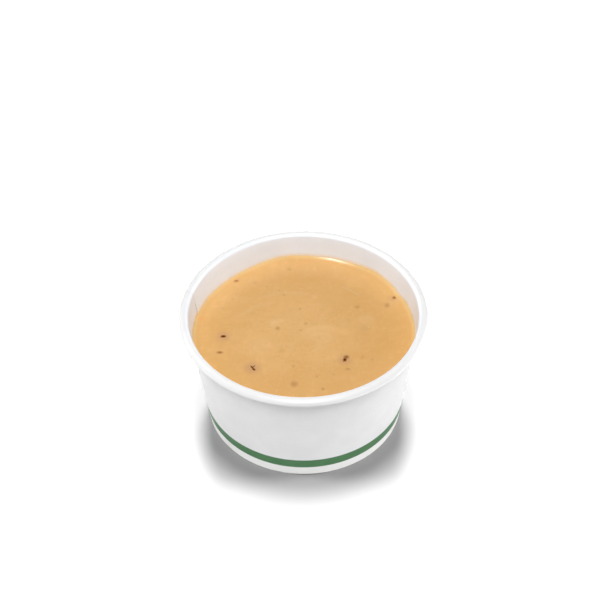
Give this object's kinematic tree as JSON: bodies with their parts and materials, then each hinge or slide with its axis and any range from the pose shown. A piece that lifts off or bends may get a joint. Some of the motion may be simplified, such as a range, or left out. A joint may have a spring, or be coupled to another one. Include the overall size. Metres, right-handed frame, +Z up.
{
  "type": "paper bowl of gravy",
  "caption": "Round tapered white paper bowl with a rolled rim and a green band near its foot, filled almost to the rim with smooth tan pepper gravy, as served over a side of mash.",
  "frame": {"origin": "centre of the ring that the bowl stands on", "axes": "+Z up through the middle of the bowl; the lap of the paper wall is on the left, 158 to 166 degrees round from +X towards +Y"},
  "size_m": [0.115, 0.115, 0.0611],
  "materials": {
    "wall_paper": "smooth coated white board, satin",
    "base_paper": "smooth coated white board, satin",
    "gravy": "smooth glossy tan gravy with dark pepper flecks"
  },
  "bodies": {
    "root": {"bowl_wall": "wall_paper", "bowl_base": "base_paper", "gravy": "gravy"}
  },
  "joints": []
}
